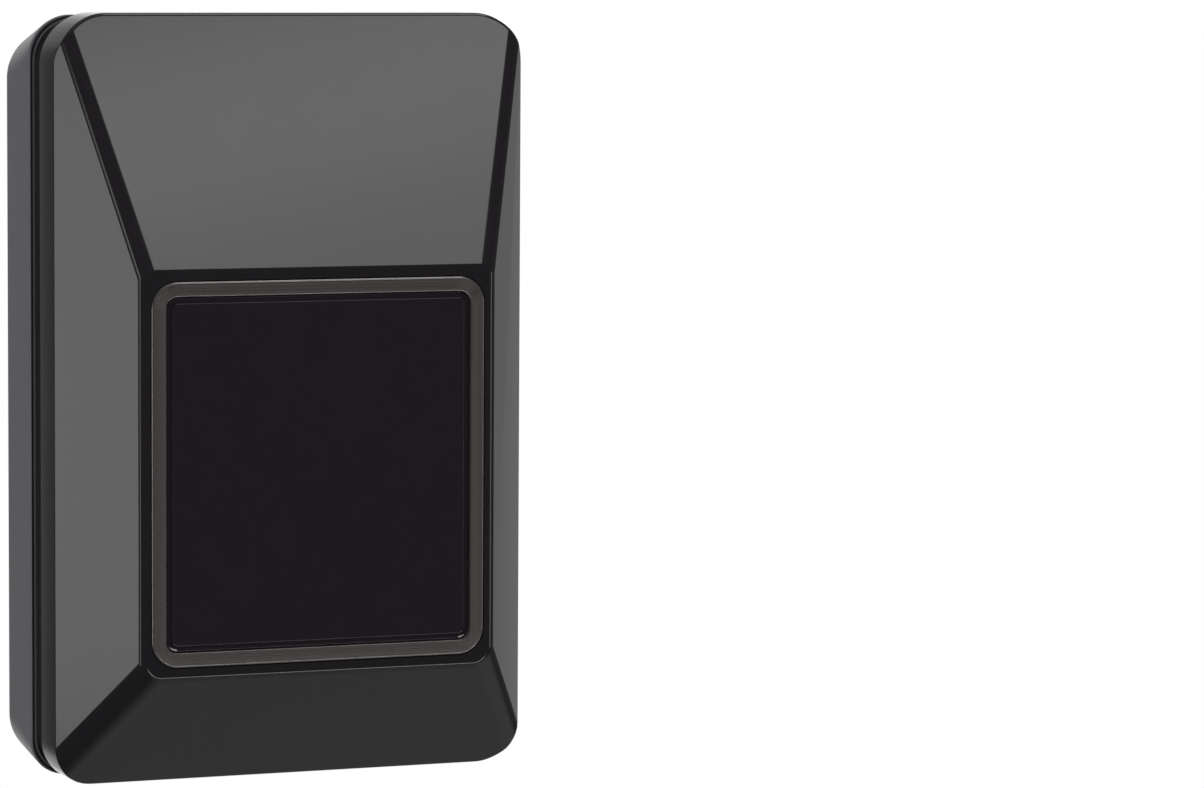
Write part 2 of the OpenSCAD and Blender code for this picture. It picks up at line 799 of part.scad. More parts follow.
// One lever, at the lower end of its slot
module switch_lever(side) {
    top = board_front + switch_d;
    color("#f0efe9") translate([switch_x + side * lever_pitch / 2, 0, low_z - lever_travel / 2])
        slab(top - lever_deep, top + lever_up) square([lever_w, lever_h], center = true);
}

module switch_lever_1() {
    switch_lever(-1);
}

module switch_lever_2() {
    switch_lever(1);
}

module trimmer_body() {
    top = board_front + trimmer_d;
    color("#2f62b5") translate([trimmer_x, 0, low_z]) difference() {
        slab(board_front, top) square([trimmer_w, trimmer_w], center = true);
        slab(top - rotor_deep - rotor_gap, top + cut) circle(rotor_r + rotor_gap);
    }
}

module trimmer_rotor() {
    top = board_front + trimmer_d;
    color("#e8e4da") translate([trimmer_x, 0, low_z]) difference() {
        slab(top - rotor_deep, top + rotor_up) circle(rotor_r);
        for (turn = [0, 90]) rotate([0, turn, 0])
            translate([-0.7 * rotor_r, -(top + rotor_up + cut), -rotor_slot / 2])
                cube([1.4 * rotor_r, rotor_slot_d + cut, rotor_slot]);
    }
}

// A lamp with a lip at its foot and a domed top
module board_led() {
    rotate_extrude() {
        square([led_r + led_lip, led_lip_t]);
        square([led_r, led_h]);
        intersection() {
            translate([0, led_h]) circle(led_r);
            square([led_r, led_h + led_r]);
        }
    }
}

module power_led() {
    color("#9fd08c") facing(-led_x, low_z, board_front) board_led();
}

module alignment_led() {
    color("#d6473c") facing(led_x, low_z, board_front) board_led();
}

module head_bracket() {
    color("#2a2a2c") translate([0, 0, window_z]) difference() {
        union() {
            slab(board_front, board_front + bracket_t)
                round_plan(bracket_w, 2 * arm_out, bracket_r);
            for (sz = [-1, 1]) translate([0, 0, sz * (arm_in + arm_t / 2)]) {
                slab(board_front + bracket_t / 2, pivot) square([arm_w, arm_t], center = true);
                translate([0, -pivot, 0]) cylinder(r = arm_w / 2, h = arm_t, center = true);
            }
        }
        translate([0, -pivot, 0])
            cylinder(r = pan_pin_r + pin_gap, h = 2 * (arm_out + cut), center = true);
        translate([0, 0, -window_z]) bracket_screw_places()
            slab(board_front - cut, board_front + bracket_t + cut) circle(board_hole_r);
    }
}

module bracket_screws() {
    color("#a9a9a6") bracket_screw_places() board_screw(back_wall + shank_end, board_front + bracket_t);
}

module gimbal_ring() {
    color("#3a3a3d") translate([0, -pivot, window_z]) difference() {
        union() {
            rotate([90, 0, 0]) cylinder(r = ring_out, h = ring_d, center = true);
            rotate([0, 90, 0]) cylinder(r = boss_r, h = 2 * (ring_out + boss_over), center = true);
            cylinder(r = pan_collar_r, h = 2 * (arm_in - near_gap), center = true);
            cylinder(r = pan_pin_r, h = 2 * (arm_out - near_gap / 2), center = true);
        }
        rotate([90, 0, 0]) cylinder(r = ring_in, h = 2 * ring_out, center = true);
        rotate([0, 90, 0])
            cylinder(r = tilt_pin_r + pin_gap, h = 2 * (ring_out + boss_over + cut), center = true);
    }
}

module lens_holder() {
    back = -head_back;
    color("#1e1e20") translate([0, -pivot, window_z]) difference() {
        union() {
            rotate([90, 0, 0]) rotate_extrude() polygon([
                [0, back],
                [head_r - taper_r, back],
                [head_r, -taper_at],
                [head_r, head_front - head_bevel],
                [head_r - head_bevel, head_front],
                [0, head_front]]);
            rotate([0, 90, 0]) cylinder(r = tilt_collar_r, h = 2 * (ring_in - 1.5 * near_gap), center = true);
            rotate([0, 90, 0]) cylinder(r = tilt_pin_r, h = 2 * (ring_out + boss_over - pin_in), center = true);
        }
        rotate([90, 0, 0]) rotate_extrude() polygon([
            [0, back - cut],
            [head_r - taper_r - holder_wall / 2, back - cut],
            [head_r - taper_r - holder_wall / 2, back],
            [holder_bore, -taper_at],
            [holder_bore, head_front - lens_seat],
            [lens_r + lens_gap, head_front - lens_seat],
            [lens_r + lens_gap, head_front + cut],
            [0, head_front + cut]]);
    }
}

module lens() {
    color([0.85, 0.9, 0.95, 0.6]) facing(0, window_z, lens_seat_depth) {
        cylinder(r = lens_r, h = lens_edge);
        intersection() {
            translate([0, 0, lens_edge + lens_dome - dome_ball]) sphere(dome_ball);
            cylinder(r = dome_r, h = lens_edge + 2 * lens_dome);
        }
    }
}

module lens_retainer() {
    color("#38383b") facing(0, window_z, lens_seat_depth + lens_edge) difference() {
        cylinder(r = lens_r, h = retainer_t);
        translate([0, 0, -cut]) cylinder(r = dome_r + lens_gap, h = retainer_t + 2 * cut);
    }
}

module optical_baffle() {
    color("#151515") facing(0, window_z, pivot + baffle_at) difference() {
        cylinder(r = holder_bore - thread_gap, h = baffle_t);
        translate([0, 0, -cut]) cylinder(r = baffle_hole, h = baffle_t + 2 * cut);
    }
}

module sensor_board() {
    color("#1d5a36") facing(0, window_z, pivot - head_back - sensor_t)
        cylinder(r = sensor_r, h = sensor_t);
}

module photodiode() {
    color("#2b2030") translate([0, 0, window_z]) {
        slab(pivot - head_back, pivot - head_back + diode_t) square([diode_w, diode_h], center = true);
        facing(0, 0, pivot - head_back + diode_t) intersection() {
            sphere(diode_dome);
            cylinder(r = 2 * diode_dome, h = 2 * diode_dome);
        }
    }
}

base_box();
cable_grommet();
housing_seal();
front_cover();
window_gasket();
window_pane();
window_trim();
main_board();
board_screws();
terminal_block();
terminal_cages();
terminal_screws();
relay();
capacitor();
varistor();
microcontroller();
regulator();
small_components();
switch_body();
switch_lever_1();
switch_lever_2();
trimmer_body();
trimmer_rotor();
power_led();
alignment_led();
head_bracket();
bracket_screws();
gimbal_ring();
lens_holder();
lens();
lens_retainer();
optical_baffle();
sensor_board();
photodiode();
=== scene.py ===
"""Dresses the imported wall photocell: its housing, its framed window, and the works under its cover."""

import json
import logging
import math
from collections.abc import Callable, Iterable
from dataclasses import dataclass, field
from enum import Enum

import bmesh
import bpy
from mathutils import Matrix, Vector


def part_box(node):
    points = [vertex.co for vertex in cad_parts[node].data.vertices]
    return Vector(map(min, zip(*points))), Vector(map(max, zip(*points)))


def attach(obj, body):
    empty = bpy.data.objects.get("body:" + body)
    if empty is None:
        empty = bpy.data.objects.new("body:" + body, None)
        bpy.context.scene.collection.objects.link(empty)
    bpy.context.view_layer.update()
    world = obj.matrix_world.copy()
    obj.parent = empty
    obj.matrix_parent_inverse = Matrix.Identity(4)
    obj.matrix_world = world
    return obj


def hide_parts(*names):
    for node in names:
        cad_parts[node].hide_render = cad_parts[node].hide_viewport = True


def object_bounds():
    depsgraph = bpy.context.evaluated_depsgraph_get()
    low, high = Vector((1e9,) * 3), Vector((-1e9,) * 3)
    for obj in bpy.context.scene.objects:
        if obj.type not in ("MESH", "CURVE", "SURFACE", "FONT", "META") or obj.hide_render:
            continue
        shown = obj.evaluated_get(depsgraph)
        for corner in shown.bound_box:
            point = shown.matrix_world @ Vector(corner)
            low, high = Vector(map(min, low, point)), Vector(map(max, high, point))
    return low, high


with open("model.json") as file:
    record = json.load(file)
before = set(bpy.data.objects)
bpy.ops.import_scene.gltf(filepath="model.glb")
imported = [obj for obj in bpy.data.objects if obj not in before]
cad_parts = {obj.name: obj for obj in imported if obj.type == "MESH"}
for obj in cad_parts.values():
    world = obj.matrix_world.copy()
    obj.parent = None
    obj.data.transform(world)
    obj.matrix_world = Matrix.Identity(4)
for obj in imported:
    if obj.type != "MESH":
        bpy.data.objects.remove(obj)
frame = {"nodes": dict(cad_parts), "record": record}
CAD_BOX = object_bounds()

log = logging.getLogger("photocell")

MM = 0.001
ON_CUT = 1e-7        # how near a corner is to a cut to count as lying on it, in metres
RECORD = frame["record"]
BODY_OF = {node: body for body, nodes in RECORD["behaviour"]["bodies"].items() for node in nodes}

Colour = tuple[float, float, float]
Edge = bmesh.types.BMEdge
Face = bmesh.types.BMFace
Vert = bmesh.types.BMVert
Mesh = bmesh.types.BMesh
Socket = bpy.types.NodeSocket
Zone = Callable[[Vector], int]


@dataclass(frozen=True)
class Step:
    """A smooth step: where it starts and ends, and what it gives at its two ends."""

    low: float
    high: float
    to_low: float = 0.0
    to_high: float = 1.0


class Wiring:
    """Adds and links the nodes of one tree."""

    def __init__(self, tree: bpy.types.NodeTree) -> None:
        """Takes the tree that the nodes go into."""
        self.tree = tree

    @classmethod
    def emptied(cls, owner: bpy.types.Material | bpy.types.World) -> "Wiring":
        """Clears the tree of a material or a world, and starts on it."""
        owner.use_nodes = True
        owner.node_tree.nodes.clear()
        return cls(owner.node_tree)

    def link(self, source: Socket, target: Socket) -> None:
        """Joins an output to an input."""
        self.tree.links.new(source, target)

    def node(self, kind: str, *sources: Socket | float | tuple | None) -> bpy.types.Node:
        """Adds a node and fills its inputs in order.

        Args:
            kind: The node's type, without its leading ShaderNode, then its operation after a space.
            sources: What each input gets: a socket to link, a value to set, or None to leave it.

        Returns:
            The node.
        """
        kind, _, operation = kind.partition(" ")
        node = self.tree.nodes.new("ShaderNode" + kind)
        if operation:
            node.operation = operation
        for socket, source in zip(node.inputs, sources):
            if isinstance(source, Socket):
                self.link(source, socket)
            elif source is not None:
                socket.default_value = source
        return node

    def maths(self, operation: str, *terms: Socket | float) -> Socket:
        """Adds a Math node, and gives its result back."""
        return self.node("Math " + operation, *terms).outputs["Value"]

    def step(self, value: Socket, step: Step) -> Socket:
        """Adds a smooth step of a value, and gives its result back."""
        node = self.node("MapRange")
        node.interpolation_type = "SMOOTHSTEP"
        self.link(value, node.inputs["Value"])
        self.fill(node, {"From Min": step.low, "From Max": step.high, "To Min": step.to_low, "To Max": step.to_high})
        return node.outputs["Result"]

    @staticmethod
    def fill(node: bpy.types.Node, values: dict[str, float | tuple]) -> None:
        """Sets inputs of a node by their names."""
        for name, value in values.items():
            node.inputs[name].default_value = value


class Grain(Enum):
    """The pattern that a finish carries in its surface."""

    MOULDED = "moulded"
    BRUSHED = "brushed"
    WOVEN = "woven"


class Recipe(Wiring):
    """Builds the shared shader group of one grain."""

    inputs: dict[str, str] = {
        "Vector": "NodeSocketVector",
        "Colour": "NodeSocketColor",
        "Tint": "NodeSocketFloat",
        "Roughness": "NodeSocketFloat",
        "Spread": "NodeSocketFloat",
        "Dust": "NodeSocketFloat",
        "Grain Scale": "NodeSocketFloat",
        "Patch Scale": "NodeSocketFloat",
    }
    outputs: dict[str, str] = {
        "Colour": "NodeSocketColor",
        "Roughness": "NodeSocketFloat",
        "Height": "NodeSocketFloat",
    }
    dust_colour: tuple[float, float, float, float] = (0.35, 0.33, 0.3, 1.0)
    specks: Step = Step(0.68, 0.76)
    scratches: Step = Step(0.3, 0.7)
    scratch_stretch: tuple[float, float, float] = (0.03, 1, 1)

    def __init__(self, name: str) -> None:
        """Starts the group of that name, with the sockets that every grain has."""
        super().__init__(bpy.data.node_groups.new(name, "ShaderNodeTree"))
        for way, sockets in (("INPUT", self.inputs), ("OUTPUT", self.outputs)):
            for label, kind in sockets.items():
                self.tree.interface.new_socket(name=label, in_out=way, socket_type=kind)
        self.given = self.tree.nodes.new("NodeGroupInput").outputs
        self.result = self.tree.nodes.new("NodeGroupOutput").inputs

    @classmethod
    def group(cls, grain: Grain) -> bpy.types.ShaderNodeTree:
        """Builds the group of a grain once, and gives the same one back after that."""
        name = grain.value + "_grain"
        if name not in bpy.data.node_groups:
            recipe = cls(name)
            patterns = {Grain.MOULDED: recipe.moulded, Grain.BRUSHED: recipe.brushed, Grain.WOVEN: recipe.woven}
            recipe.close(*patterns[grain]())
        return bpy.data.node_groups[name]

    def noise(self, scale: Socket, vector: Socket, detail: float) -> Socket:
        """Adds a noise texture.

        Args:
            scale: What sets how fine it is.
            vector: The coordinates that it reads.
            detail: How many finer layers it has.

        Returns:
            The noise, from 0 to 1.
        """
        node = self.node("TexNoise")
        node.inputs["Detail"].default_value = detail
        self.link(scale, node.inputs["Scale"])
        self.link(vector, node.inputs["Vector"])
        return node.outputs["Fac"]

    def moulded(self) -> tuple[Socket, Socket]:
        """Draws the fine even texture of moulded plastic, rubber and cast metal: its tone and its height."""
        fine = self.noise(self.given["Grain Scale"], self.given["Vector"], 3)
        return fine, fine

    def brushed(self) -> tuple[Socket, Socket]:
        """Draws long fine scratches that run along U: their tone and their height."""
        stretch = self.node("Mapping", self.given["Vector"])
        stretch.inputs["Scale"].default_value = self.scratch_stretch
        scratch = self.noise(self.given["Grain Scale"], stretch.outputs["Vector"], 4)
        return self.step(scratch, self.scratches), scratch

    def woven(self) -> tuple[Socket, Socket]:
        """Draws the glass cloth that shows faintly through a board's lacquer: its tone and its height."""
        waves = []
        for direction in ("X", "Z"):
            wave = self.node("TexWave", self.given["Vector"], self.given["Grain Scale"])
            wave.bands_direction = direction
            waves.append(wave.outputs["Fac"])
        cloth = self.maths("MULTIPLY", *waves)
        return cloth, cloth

    def close(self, tone: Socket, height: Socket) -> None:
        """Adds what every grain has alike: patches of tone, dust and a changing roughness.

        Args:
            tone: The pattern's own light and dark, from 0 to 1.
            height: The pattern's relief.
        """
        given = self.given
        patch = self.noise(given["Patch Scale"], given["Vector"], 2)
        swing = self.maths("SUBTRACT", self.maths("ADD", patch, tone), 1.0)
        gain = self.maths("MULTIPLY_ADD", swing, given["Tint"], 1.0)
        toned = self.node("VectorMath SCALE", given["Colour"])
        self.link(gain, toned.inputs["Scale"])
        speck = self.step(self.noise(given["Grain Scale"], given["Vector"], 0), self.specks)
        dust = self.maths("MULTIPLY", speck, given["Dust"])
        dusted = self.node("Mix")
        dusted.data_type = "RGBA"
        dusted.inputs["B"].default_value = self.dust_colour
        self.link(dust, dusted.inputs["Factor"])
        self.link(toned.outputs["Vector"], dusted.inputs["A"])
        self.link(dusted.outputs["Result"], self.result["Colour"])
        rough = self.maths("ADD", given["Roughness"], self.maths("MULTIPLY", swing, given["Spread"]))
        self.link(self.maths("ADD", rough, dust), self.result["Roughness"])
        self.link(height, self.result["Height"])


@dataclass(frozen=True)
class Finish:
    """One surface finish. Lengths are in millimetres, and colours are linear."""

    name: str
    colour: Colour
    roughness: float
    grain: Grain = Grain.MOULDED
    grain_mm: float = 0.25
    depth_mm: float = 0.004
    patch_mm: float = 9.0
    tint: float = 0.12
    spread: float = 0.12
    dust: float = 0.02
    metallic: float = 0.0
    ior: float = 1.5
    coat: float = 0.0
    transmission: float = 0.0

    def build(self) -> bpy.types.Material:
        """Makes the material once, and gives the same one back after that.

        Returns:
            The Blender material named after this finish.
        """
        label = self.name + "_finish"
        if label in bpy.data.materials:
            return bpy.data.materials[label]
        material = bpy.data.materials.new(label)
        material.use_nodes = True
        wiring = Wiring(material.node_tree)
        shader = material.node_tree.nodes["Principled BSDF"]
        wiring.fill(shader, {"Metallic": self.metallic, "IOR": self.ior, "Coat Weight": self.coat,
                             "Transmission Weight": self.transmission})
        grain = wiring.node("Group")
        grain.node_tree = Recipe.group(self.grain)
        wiring.fill(grain, {"Colour": (*self.colour, 1), "Tint": self.tint, "Roughness": self.roughness,
                            "Spread": self.spread, "Dust": self.dust, "Grain Scale": 1 / (self.grain_mm * MM),
                            "Patch Scale": 1 / (self.patch_mm * MM)})
        source = "UV" if self.grain is Grain.BRUSHED else "Object"
        wiring.link(wiring.node("TexCoord").outputs[source], grain.inputs["Vector"])
        bump = wiring.node("Bump")
        wiring.fill(bump, {"Strength": 1.0, "Distance": self.depth_mm * MM})
        wiring.link(grain.outputs["Height"], bump.inputs["Height"])
        wiring.link(grain.outputs["Colour"], shader.inputs["Base Color"])
        wiring.link(grain.outputs["Roughness"], shader.inputs["Roughness"])
        wiring.link(bump.outputs["Normal"], shader.inputs["Normal"])
        return material


BASE = Finish("base_plastic", (0.094, 0.092, 0.104), 0.34, grain_mm=0.2, depth_mm=0.012)
COVER = Finish("cover_plastic", (0.0138, 0.0122, 0.0138), 0.11, grain_mm=1.6, depth_mm=0.0006, spread=0.03, dust=0.002)
PANE = Finish("window_plastic", (0.0152, 0.0115, 0.0158), 0.05, grain_mm=2.2, depth_mm=0.0003, spread=0.015, dust=0.0)
TRIM = Finish("brushed_trim", (0.135, 0.123, 0.118), 0.36, Grain.BRUSHED, grain_mm=0.07, depth_mm=0.006,
              patch_mm=4, tint=0.55, spread=0.2, metallic=0.6)
# The chamfers' finish is lighter than the trim's: partly bare metal at a cut edge, partly a painted highlight that
# draws the bright edge lines.
TRIM_EDGE_HIGHLIGHT = Finish("cut_edge_highlight", (0.2, 0.192, 0.188), 0.25, grain_mm=0.1, depth_mm=0.002, metallic=0.8)
RUBBER = Finish("black_rubber", (0.0125, 0.0115, 0.0135), 0.5, grain_mm=0.15, depth_mm=0.008, ior=1.38)
# The bead's lighter grey is a painted highlight: it draws the thin light line along the dark band.
BEAD_HIGHLIGHT = Finish("seal_bead_highlight", (0.07, 0.067, 0.076), 0.4, grain_mm=0.15, depth_mm=0.006)
LAMINATE = Finish("board_lacquer", (0.012, 0.1, 0.038), 0.3, Grain.WOVEN, grain_mm=0.9, depth_mm=0.004, coat=0.4)
TRACK = Finish("covered_copper", (0.03, 0.19, 0.062), 0.28, Grain.WOVEN, grain_mm=0.9, depth_mm=0.002, coat=0.4)
INK = Finish("board_ink", (0.7, 0.7, 0.66), 0.55, grain_mm=0.1, depth_mm=0.003)
STRIPE = Finish("sleeve_stripe", (0.42, 0.44, 0.46), 0.3, grain_mm=0.8, depth_mm=0.003)
SOLDER = Finish("solder", (0.62, 0.62, 0.6), 0.2, grain_mm=0.4, depth_mm=0.01, metallic=1)
ZINC = Finish("zinc_plate", (0.56, 0.55, 0.52), 0.34, grain_mm=0.12, depth_mm=0.004, metallic=1)
TIN = Finish("tin_plate", (0.66, 0.65, 0.62), 0.24, grain_mm=0.3, depth_mm=0.004, metallic=1)
GREEN = Finish("terminal_plastic", (0.02, 0.17, 0.07), 0.4)
BLUE = Finish("relay_plastic", (0.02, 0.065, 0.22), 0.38)
SLEEVE = Finish("capacitor_sleeve", (0.012, 0.018, 0.032), 0.25, grain_mm=0.8, depth_mm=0.003)
EPOXY = Finish("varistor_coat", (0.02, 0.1, 0.34), 0.33, grain_mm=0.7, depth_mm=0.02)
RESIN = Finish("chip_resin", (0.014, 0.014, 0.015), 0.5, grain_mm=0.08, depth_mm=0.006)
CERAMIC = Finish("ceramic", (0.36, 0.23, 0.11), 0.5, grain_mm=0.1)
RED = Finish("switch_plastic", (0.42, 0.02, 0.018), 0.36)
WHITE = Finish("lever_plastic", (0.78, 0.76, 0.7), 0.38)
TRIMMER = Finish("trimmer_plastic", (0.02, 0.11, 0.45), 0.36)
GREEN_LAMP = Finish("green_lamp", (0.2, 0.62, 0.16), 0.22, transmission=0.55)
RED_LAMP = Finish("red_lamp", (0.66, 0.04, 0.025), 0.22, transmission=0.55)
HEAD = Finish("head_plastic", (0.012, 0.012, 0.013), 0.5, depth_mm=0.01)
RING = Finish("ring_plastic", (0.045, 0.045, 0.048), 0.42)
LENS = Finish("lens_glass", (0.93, 0.95, 0.97), 0.03, grain_mm=2, depth_mm=0.0002, tint=0.02, spread=0.01,
              dust=0.004, transmission=1)
DIODE = Finish("diode_resin", (0.02, 0.012, 0.03), 0.12, grain_mm=1, depth_mm=0.001)


def plate(width: float, height: float, radius: float, steps: int = 12, lower: float | None = None) -> Mesh:
    """Starts a mesh as one flat face with round corners.

    Args:
        width: Its size along X.
        height: Its size along Z.
        radius: The radius of its corners.
        steps: How many edges make a corner.
        lower: The radius of its two lower corners, where it isn't the same.

    Returns:
        A mesh about the origin, whose face looks forwards along -Y.
    """
    bm = bmesh.new()
    bmesh.ops.create_grid(bm, x_segments=1, y_segments=1, size=0.5)
    bmesh.ops.scale(bm, vec=(width, height, 1), verts=bm.verts)
    bmesh.ops.rotate(bm, matrix=Matrix.Rotation(math.pi / 2, 3, "X"), verts=bm.verts)
    upper_corners = [v for v in bm.verts if v.co.z > 0]
    lower_corners = [v for v in bm.verts if v.co.z < 0]
    for corners, reach in ((upper_corners, radius), (lower_corners, radius if lower is None else lower)):
        bmesh.ops.bevel(bm, geom=corners, offset=reach, offset_type="OFFSET", affect="VERTICES",
                        segments=steps, profile=0.5, material=-1)
    return bm


def inset(bm: Mesh, face: Face, by: float) -> list[Face]:
    """Draws a face in evenly, which leaves a ring of faces round it.

    Args:
        bm: The mesh.
        face: The face that gets smaller.
        by: How far its outline moves in.

    Returns:
        The faces of the ring.
    """
    return bmesh.ops.inset_region(bm, faces=[face], thickness=by, use_even_offset=True, use_boundary=True)["faces"]


def hollowed(bm: Mesh, width: float) -> list[Face]:
    """Cuts the middle out of a mesh that is one flat face.

    Args:
        bm: The mesh.
        width: How wide the ring is that stays.

    Returns:
        The faces of the ring.
    """
    ring = inset(bm, bm.faces[:][0], width)
    bmesh.ops.delete(bm, geom=[f for f in bm.faces if f not in ring], context="FACES_ONLY")
    return ring


def push(bm: Mesh, faces: Iterable[Face], forwards: float, keep: bool = False) -> list[Face]:
    """Extrudes faces along -Y.

    Args:
        bm: The mesh.
        faces: The faces to carry forwards.
        forwards: How far, or backwards if it is negative.
        keep: Whether the faces also stay where they were, to close a solid.

    Returns:
        The faces in their new place.
    """
    old = list(faces)
    made = bmesh.ops.extrude_face_region(bm, geom=old, use_keep_orig=True)["geom"]
    bmesh.ops.translate(bm, vec=(0, -forwards, 0), verts=[g for g in made if isinstance(g, Vert)])
    if not keep:
        bmesh.ops.delete(bm, geom=old, context="FACES_ONLY")
    return [g for g in made if isinstance(g, Face)]


def face_outwards(bm: Mesh) -> None:
    """Turns the faces of a closed mesh outwards."""
    bmesh.ops.recalc_face_normals(bm, faces=bm.faces)


def break_edges(bm: Mesh, width: float, segments: int = 2, sharper: float = 50,
                only: Callable[[Edge], bool] | None = None, index: int = -1) -> None:
    """Rounds the edges where two faces meet sharply.

    Args:
        bm: The mesh.
        width: How far the round reaches over each face.
        segments: How many faces make the round.
        sharper: The least angle in degrees between the faces of an edge that is rounded.
        only: A test that such an edge also has to pass.
        index: The material index of the rounds, or -1 for that of the faces beside them.
    """
    limit = math.radians(sharper)
    edges = [e for e in bm.edges if len(e.link_faces) == 2 and e.calc_face_angle() > limit]
    edges = [e for e in edges if only is None or only(e)]
    bmesh.ops.bevel(bm, geom=edges, offset=width, offset_type="OFFSET", affect="EDGES", segments=segments,
                    profile=0.5, material=index, clamp_overlap=True)


def tab(width: float, height: float, radius: float, rise: float, steps: int = 4, hollow: float = 0.0) -> Mesh:
    """Makes a thin solid with round corners, or a flat ring.

    Args:
        width: Its size along X.
        height: Its size along Z.
        radius: The radius of its corners.
        rise: How far it stands forwards.
        steps: How many edges make a corner.
        hollow: How wide its ring is, or 0 for a full tab.

    Returns:
        A closed mesh about the origin.
    """
    bm = plate(width, height, radius, steps)
    push(bm, hollowed(bm, hollow) if hollow else bm.faces[:], rise, keep=True)
    face_outwards(bm)
    return bm


def ribbon(points: list[Vector], width: float, rise: float) -> Mesh:
    """Makes a thin strip that follows a bent line, by drawing an edge from point to point.

    Args:
        points: The line's points, all at one depth.
        width: How wide the strip is.
        rise: How far it stands forwards.

    Returns:
        A closed mesh in its place.
    """
    bm = bmesh.new()
    ways = [(b - a).normalized() for a, b in zip(points, points[1:])]
    ways = [ways[0], *ways, ways[-1]]
    rim: list[Vert] = []
    for point, before, after in zip(points, ways, ways[1:]):
        across = Vector((-(before + after).z, 0, (before + after).x)).normalized()
        across *= width / 2 / across.dot(Vector((-after.z, 0, after.x)))
        if rim:
            made = bmesh.ops.extrude_edge_only(bm, edges=[bm.edges.get(rim)])["geom"]
            fresh = [g for g in made if isinstance(g, Vert)]
            rim = sorted(fresh, key=lambda v: (v.co - rim[0].co).length)
        else:
            rim = [bm.verts.new(point), bm.verts.new(point)]
            bm.edges.new(rim)
        rim[0].co, rim[1].co = point - across, point + across
    push(bm, bm.faces[:], rise, keep=True)
    face_outwards(bm)
    return bm


def gather(into: Mesh, shape: Mesh, at: tuple[float, float, float] = (0, 0, 0), index: int = 0) -> None:
    """Adds one mesh to another.

    Args:
        into: The mesh that grows.
        shape: The mesh to add. It is freed.
        at: Where its origin goes.
        index: The material index of its faces.
    """
    bmesh.ops.translate(shape, vec=at, verts=shape.verts)
    for face in shape.faces:
        face.material_index = index
    carrier = bpy.data.meshes.new("carrier")
    shape.to_mesh(carrier)
    shape.free()
    into.from_mesh(carrier)
    bpy.data.meshes.remove(carrier)


def merged(node: str, weld: float = 0.002 * MM, flat_degrees: float = 0.5) -> Mesh:
    """Copies a CAD node's mesh, joins its loose triangles and clears the flat ones away.

    Args:
        node: The node's name.
        weld: How close two corners are that become one.
        flat_degrees: The angle between two faces below which they become one.

    Returns:
        The clean copy, at the node's own place.
    """
    bm = bmesh.new()
    bm.from_mesh(frame["nodes"][node].data)
    bmesh.ops.remove_doubles(bm, verts=bm.verts, dist=weld)
    bmesh.ops.dissolve_limit(bm, angle_limit=math.radians(flat_degrees), verts=bm.verts, edges=bm.edges)
    return bm


def put(name: str, bm: Mesh, finishes: list[Finish], node: str, stands_for: tuple[str, ...] = (),
        crease: float = 38) -> bpy.types.Object:
    """Makes a finished piece of a mesh and sets it on its body.

    Args:
        name: The piece's name.
        bm: Its mesh, in its place. It is freed.
        finishes: Its finishes, in the order of the faces' material indices.
        node: The CAD node that it rides with.
        stands_for: The CAD nodes that it hides.
        crease: The angle in degrees above which an edge stays sharp.

    Returns:
        The new object.
    """
    for face in bm.faces:
        face.smooth = True
    for edge in bm.edges:
        edge.smooth = len(edge.link_faces) == 2 and edge.calc_face_angle() < math.radians(crease)
    mesh = bpy.data.meshes.new(name)
    bm.to_mesh(mesh)
    bm.free()
    for finish in finishes:
        mesh.materials.append(finish.build())
    piece = bpy.data.objects.new(name, mesh)
    bpy.context.scene.collection.objects.link(piece)
    even = piece.modifiers.new("even_shading", "WEIGHTED_NORMAL")
    even.keep_sharp = True
    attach(piece, BODY_OF[node])
    if stands_for:
        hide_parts(*stands_for)
    log.info("%s rides on %s with %d faces", name, BODY_OF[node], len(mesh.polygons))
    return piece


def refine(node: str, finishes: list[Finish], edge_mm: float = 0.0, segments: int = 2,
           zone: Zone | None = None, cuts_mm: Iterable[float] = ()) -> bpy.types.Object:
    """Replaces a CAD node by a clean copy of itself whose sharp edges are broken.

    Args:
        node: The node's name.
        finishes: Its finishes.
        edge_mm: How wide its broken edges are, in millimetres, or 0 to leave the edges as they are.
        segments: How many faces round an edge.
        zone: Which finish a face gets, from its middle in millimetres.
        cuts_mm: The places along X where the faces are cut first, so that a zone can end there.

    Returns:
        The new piece.
    """
    bm = merged(node)
    if edge_mm:
        break_edges(bm, edge_mm * MM, segments)
    for cut in cuts_mm:
        bmesh.ops.bisect_plane(bm, geom=[*bm.verts, *bm.edges, *bm.faces], dist=ON_CUT,
                               plane_co=(cut * MM, 0, 0), plane_no=(1, 0, 0))
    if zone:
        for face in bm.faces:
            face.material_index = zone(face.calc_center_median() / MM)
    return put(node + "_piece", bm, finishes, node, (node,))


def middle_of(node: str) -> Vector:
    """Gives the middle of a CAD node's box, in millimetres."""
    low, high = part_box(node)
    return (low + high) / 2 / MM


@dataclass(frozen=True)
class Lip:
    """One ring on the base's front face: the black flange that paints the groove's shade, or the lighter bead that
    paints a highlight line. Lengths are in millimetres.
    """

    inwards: float
    width: float
    rise: float
    finish: Finish


